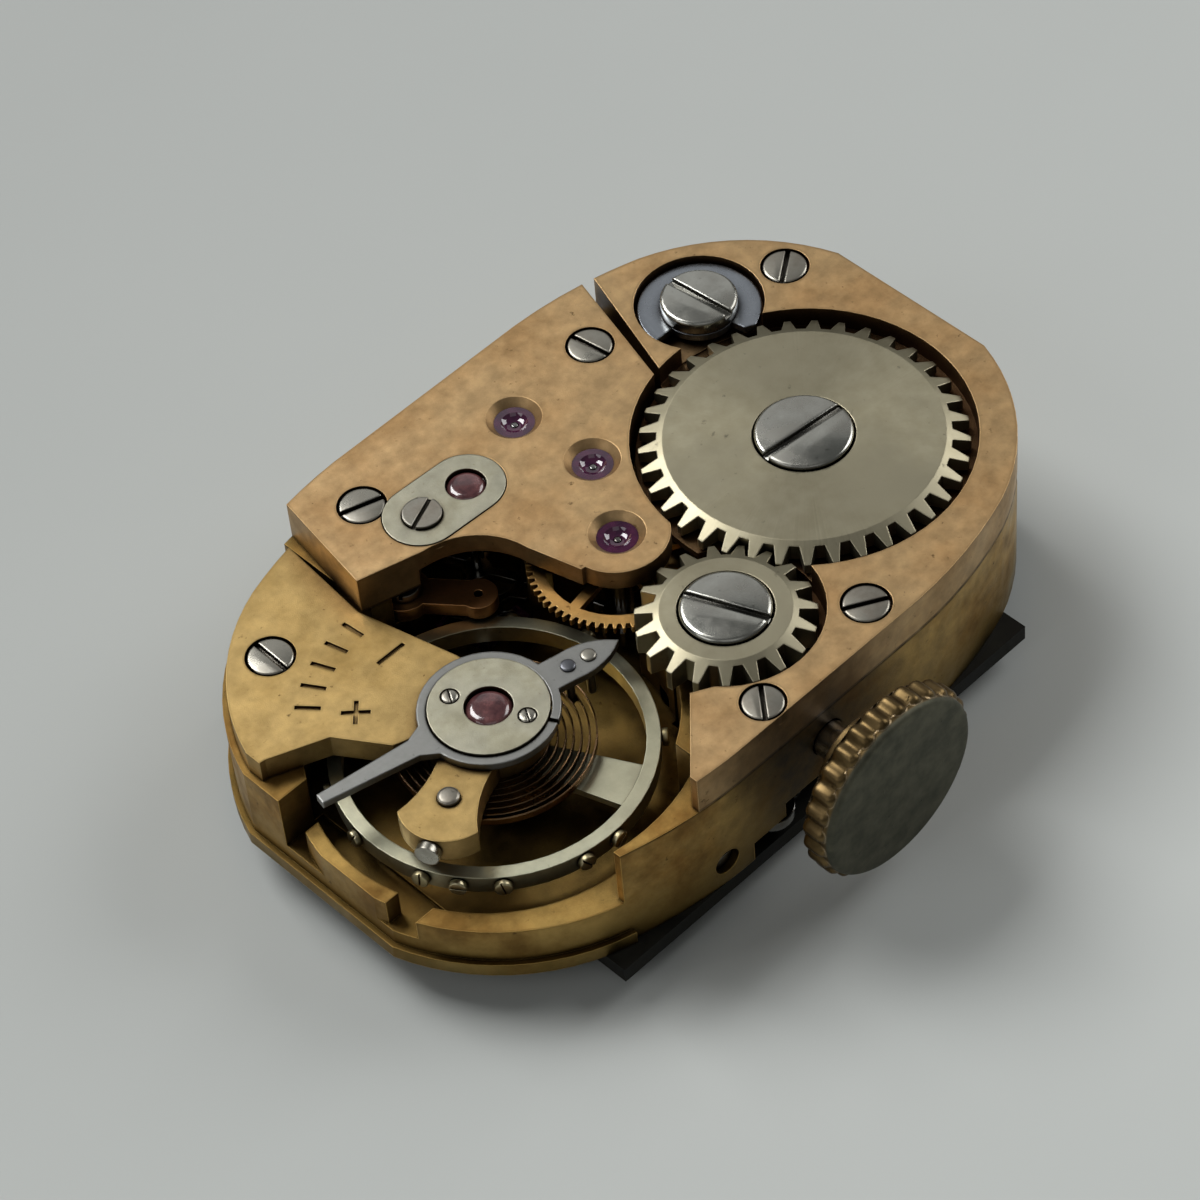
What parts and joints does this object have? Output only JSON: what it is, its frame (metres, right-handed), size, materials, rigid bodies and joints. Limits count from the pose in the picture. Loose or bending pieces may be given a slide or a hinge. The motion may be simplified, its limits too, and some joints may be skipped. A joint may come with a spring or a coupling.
{
  "type": "mechanical watch movement",
  "caption": "Small shaped hand-wound watch movement with its dial plate, crown and stem: gilt bridges, lever escapement, open balance, working train and keyless works",
  "frame": {"origin": "on the hand axis at the plane where the dial meets the main plate, 0.42 mm above the hour hand's seat", "axes": "+X along the long axis from the balance to the barrel, +Y away from the crown, +Z from the dial to the bridges"},
  "size_m": [0.0182, 0.014, 0.0052],
  "materials": {
    "plate_brass": "fine matte, oiled brass",
    "bridge_gilt": "rose gilt, frosted",
    "cock_gilt": "yellow gilt, frosted",
    "wheel_gilt": "gilt wheel",
    "blue_steel": "polished steel with a blue cast",
    "grey_steel": "satin steel",
    "pinion_steel": "hardened pinion steel",
    "spring_steel": "tempered spring steel",
    "ruby": "synthetic ruby",
    "cap_ruby": "pale synthetic ruby",
    "nickel": "nickel alloy, lightly tarnished",
    "cap_nickel": "pale satin nickel",
    "crown_brass": "worn gilt crown",
    "dial_black": "dark lacquered dial"
  },
  "bodies": {
    "movement": {"main_plate": "plate_brass", "barrel_bridge": "bridge_gilt", "train_bridge": "bridge_gilt", "balance_cock": "cock_gilt", "pallet_bridge": "plate_brass", "bridge_screws": "blue_steel", "small_screws": "blue_steel", "setting_lever_screw": "blue_steel", "train_jewels": "ruby", "pivot_jewels": "ruby", "escape_cap_plate": "cap_nickel", "escape_cap_jewel": "cap_ruby", "balance_cap_plate": "nickel", "balance_cap_jewel": "cap_ruby", "balance_cap_screws": "blue_steel", "hairspring_stud": "grey_steel", "stud_screw": "blue_steel", "hairspring": "spring_steel", "crown_wheel_screw": "blue_steel", "click_spring": "spring_steel", "click_screw": "blue_steel", "setting_lever_spring": "grey_steel", "dial": "dial_black", "dial_screws": "blue_steel"},
    "barrel": {"barrel_drum": "wheel_gilt", "barrel_cover": "wheel_gilt", "mainspring": "spring_steel"},
    "ratchet": {"ratchet_wheel": "grey_steel", "ratchet_screw": "blue_steel", "barrel_arbor": "pinion_steel"},
    "crown_wheel_body": {"crown_wheel": "grey_steel"},
    "centre": {"centre_wheel": "wheel_gilt", "centre_arbor": "pinion_steel", "cannon_pinion": "pinion_steel"},
    "third": {"third_wheel": "wheel_gilt", "third_pinion": "pinion_steel"},
    "fourth": {"fourth_wheel": "wheel_gilt", "fourth_pinion": "pinion_steel"},
    "escape": {"escape_wheel": "grey_steel", "escape_pinion": "pinion_steel"},
    "pallet": {"pallet_fork": "grey_steel", "pallet_stones": "ruby", "pallet_arbor": "pinion_steel"},
    "balance": {"balance_wheel": "nickel", "balance_screws": "wheel_gilt", "balance_staff": "pinion_steel", "roller": "wheel_gilt", "impulse_jewel": "ruby", "collet": "wheel_gilt"},
    "regulator_body": {"regulator": "grey_steel"},
    "click_body": {"click": "grey_steel"},
    "winding": {"winding_pinion": "pinion_steel"},
    "clutch": {"sliding_pinion": "pinion_steel"},
    "stem": {"winding_stem": "pinion_steel", "crown": "crown_brass"},
    "lever": {"setting_lever": "grey_steel"},
    "yoke_body": {"yoke": "grey_steel"},
    "setting": {"setting_wheel": "pinion_steel"},
    "minute": {"minute_wheel": "wheel_gilt"},
    "hour": {"hour_wheel": "wheel_gilt"}
  },
  "joints": [
    {"name": "barrel_turn", "type": "hinge", "parent": "movement", "child": "barrel", "pos_m": [0.00465, -0.00101, 0.0016], "axis": [0, 0, 1], "continuous": true},
    {"name": "ratchet_turn", "type": "hinge", "parent": "movement", "child": "ratchet", "pos_m": [0.00465, -0.00101, 0.0036], "axis": [0, 0, 1], "continuous": true},
    {"name": "crown_wheel_turn", "type": "hinge", "parent": "movement", "child": "crown_wheel_body", "pos_m": [0, -0.00317, 0.0035], "axis": [0, 0, 1], "continuous": true},
    {"name": "centre_turn", "type": "hinge", "parent": "movement", "child": "centre", "pos_m": [0, 0, 0.0029], "axis": [0, 0, 1], "continuous": true},
    {"name": "third_turn", "type": "hinge", "parent": "movement", "child": "third", "pos_m": [0.00112, 0.00186, 0.0027], "axis": [0, 0, 1], "continuous": true},
    {"name": "fourth_turn", "type": "hinge", "parent": "movement", "child": "fourth", "pos_m": [0.00086, 0.004, 0.002], "axis": [0, 0, 1], "continuous": true},
    {"name": "escape_turn", "type": "hinge", "parent": "movement", "child": "escape", "pos_m": [-0.00119, 0.00336, 0.0011], "axis": [0, 0, 1], "continuous": true},
    {"name": "pallet_turn", "type": "hinge", "parent": "movement", "child": "pallet", "pos_m": [-0.00229, 0.00204, 0.0011], "axis": [0, 0, 1], "range_deg": [-5, 5]},
    {"name": "balance_turn", "type": "hinge", "parent": "movement", "child": "balance", "pos_m": [-0.00471, -0.00089, 0.0016], "axis": [0, 0, 1], "range_deg": [-270, 270]},
    {"name": "regulator_turn", "type": "hinge", "parent": "movement", "child": "regulator_body", "pos_m": [-0.00471, -0.00089, 0.00295], "axis": [0, 0, 1], "range_deg": [-75, 4]},
    {"name": "click_turn", "type": "hinge", "parent": "movement", "child": "click_body", "pos_m": [0.006, 0.00342, 0.0035], "axis": [0, 0, 1], "range_deg": [0, 14]},
    {"name": "winding_turn", "type": "hinge", "parent": "movement", "child": "winding", "pos_m": [0, -0.00465, 0.00196], "axis": [0, -1, 0], "continuous": true},
    {"name": "clutch_slide", "type": "slide", "parent": "winding", "child": "clutch", "axis": [0, 1, 0], "range_m": [0, 0.00025]},
    {"name": "stem_pull", "type": "slide", "parent": "winding", "child": "stem", "axis": [0, -1, 0], "range_m": [0, 0.00035]},
    {"name": "setting_lever_turn", "type": "hinge", "parent": "movement", "child": "lever", "pos_m": [-0.00129, -0.00546, 0.00036], "axis": [0, 0, 1], "range_deg": [-15.55, 0]},
    {"name": "yoke_turn", "type": "hinge", "parent": "movement", "child": "yoke_body", "pos_m": [-0.00245, -0.00375, 0.00036], "axis": [0, 0, 1], "range_deg": [0, 6.29]},
    {"name": "setting_wheel_turn", "type": "hinge", "parent": "movement", "child": "setting", "pos_m": [-0.00042, -0.00231, 0.0007], "axis": [0, 0, 1], "continuous": true},
    {"name": "minute_turn", "type": "hinge", "parent": "movement", "child": "minute", "pos_m": [-0.00117, -0.00093, 0.00035], "axis": [0, 0, 1], "continuous": true},
    {"name": "hour_turn", "type": "hinge", "parent": "movement", "child": "hour", "pos_m": [0, 0, 0.0001], "axis": [0, 0, 1], "continuous": true}
  ],
  "couplings": [
    {"joint": "third_turn", "follows": "fourth_turn", "ratio": -0.1},
    {"joint": "centre_turn", "follows": "fourth_turn", "ratio": 0.0125},
    {"joint": "barrel_turn", "follows": "fourth_turn", "ratio": -0.0017857},
    {"joint": "escape_turn", "follows": "fourth_turn", "ratio": -7.5},
    {"joint": "minute_turn", "follows": "fourth_turn", "ratio": -0.0041667},
    {"joint": "hour_turn", "follows": "fourth_turn", "ratio": 0.0010417},
    {"joint": "setting_wheel_turn", "follows": "fourth_turn", "ratio": 0.010417},
    {"joint": "crown_wheel_turn", "follows": "winding_turn", "ratio": -0.63158},
    {"joint": "ratchet_turn", "follows": "winding_turn", "ratio": 0.32432},
    {"joint": "clutch_slide", "follows": "stem_pull", "ratio": 0.71429},
    {"joint": "setting_lever_turn", "follows": "stem_pull", "rad_per_m": -774.96},
    {"joint": "yoke_turn", "follows": "stem_pull", "rad_per_m": 313.03}
  ]
}
